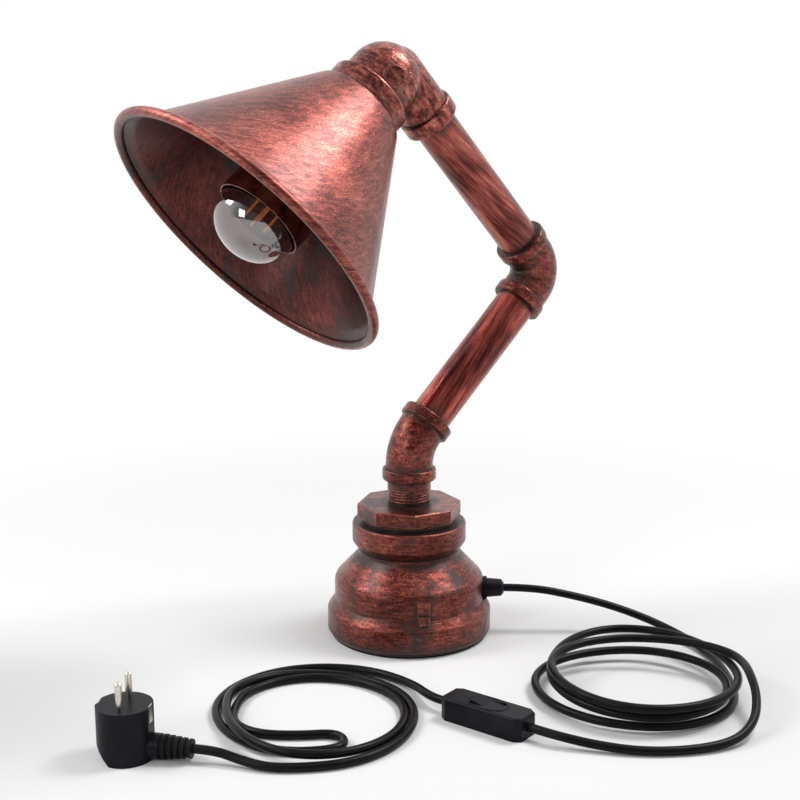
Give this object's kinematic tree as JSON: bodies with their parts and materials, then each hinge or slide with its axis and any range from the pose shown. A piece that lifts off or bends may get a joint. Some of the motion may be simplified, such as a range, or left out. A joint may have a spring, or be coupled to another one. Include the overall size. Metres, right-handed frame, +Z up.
{
  "type": "table lamp",
  "caption": "Jointed table lamp of threaded pipe and elbow fittings on a round bell base, with a cone shade, a bare bulb, an in-line rocker switch and a coiled mains cord with plug.",
  "frame": {"origin": "middle of the base's underside, on the surface that the lamp stands on", "axes": "+Z up along the riser's axis, +X towards the side that the cord leaves, +Y towards the back, away from the switch and the plug"},
  "size_m": [0.4686, 0.3549, 0.4769],
  "materials": {
    "red_casting": "brushed red lacquer over cast iron",
    "red_fitting": "brushed red lacquer over cast iron",
    "red_pipe": "translucent red lacquer over brushed steel",
    "dark_steel": "dark threaded steel",
    "red_shade": "translucent red lacquer over diagonally brushed steel",
    "red_cup": "smooth red lacquer",
    "foot_rubber": "matt black",
    "black_plastic": "black, slight sheen",
    "black_rubber": "black, moulded",
    "cord_sheath": "black sheath, soft sheen",
    "nickel": "bright nickel",
    "bare_steel": "plain steel",
    "brass_contact": "bright",
    "cap_metal": "bright",
    "bulb_glass": "clear glass",
    "stem_glass": "clear glass",
    "filament": "glowing amber strip"
  },
  "bodies": {
    "base": {"base_reducer": "red_casting", "foot_pad": "foot_rubber", "base_bushing": "red_casting", "riser_nipple": "dark_steel", "cord_gland": "black_plastic", "gland_nut": "black_plastic", "cord_lead": "cord_sheath", "cord_coil_right": "cord_sheath", "cord_sweep": "cord_sheath", "cord_link": "cord_sheath", "cord_coil_left": "cord_sheath", "cord_tail": "cord_sheath", "switch_base": "black_plastic", "switch_cover": "black_plastic", "switch_pin": "bare_steel", "plug_body": "black_plastic", "plug_relief": "black_rubber", "plug_pin_1": "nickel", "plug_pin_2": "nickel", "plug_clip_1": "nickel", "plug_clip_2": "nickel"},
    "lower_arm": {"elbow_low": "red_fitting", "lower_pipe": "red_pipe"},
    "upper_arm": {"elbow_middle": "red_fitting", "upper_pipe": "red_pipe"},
    "head": {"elbow_top": "red_fitting", "mouth_plug": "bare_steel", "entry_tube": "bare_steel", "nut_upper": "bare_steel", "nut_lower": "bare_steel", "shade": "red_shade", "holder_cup": "red_cup", "lamp_holder": "black_plastic", "lamp_contact": "brass_contact", "bulb_cap": "cap_metal", "bulb_glass": "bulb_glass", "bulb_stem": "stem_glass", "filament_1": "filament", "filament_2": "filament", "filament_3": "filament", "filament_4": "filament"},
    "rocker": {"switch_rocker": "black_plastic"}
  },
  "joints": [
    {"name": "base_swivel", "type": "hinge", "parent": "base", "child": "lower_arm", "pos_m": [0, 0, 0.14], "axis": [0, 0, 1], "range_deg": [-90, 90]},
    {"name": "elbow_swivel", "type": "hinge", "parent": "lower_arm", "child": "upper_arm", "pos_m": [0.08871, 0.06304, 0.26587], "axis": [0.582, 0.4136, 0.7002], "range_deg": [-60, 60]},
    {"name": "head_swivel", "type": "hinge", "parent": "upper_arm", "child": "head", "pos_m": [0.01751, 0.00393, 0.41726], "axis": [-0.5399, -0.4329, 0.7219], "range_deg": [-90, 90]},
    {"name": "switch_rock", "type": "hinge", "parent": "base", "child": "rocker", "pos_m": [0.0573, -0.1854, 0.015], "axis": [0.5948, 0.8039, 0], "range_deg": [-16, 0]}
  ]
}
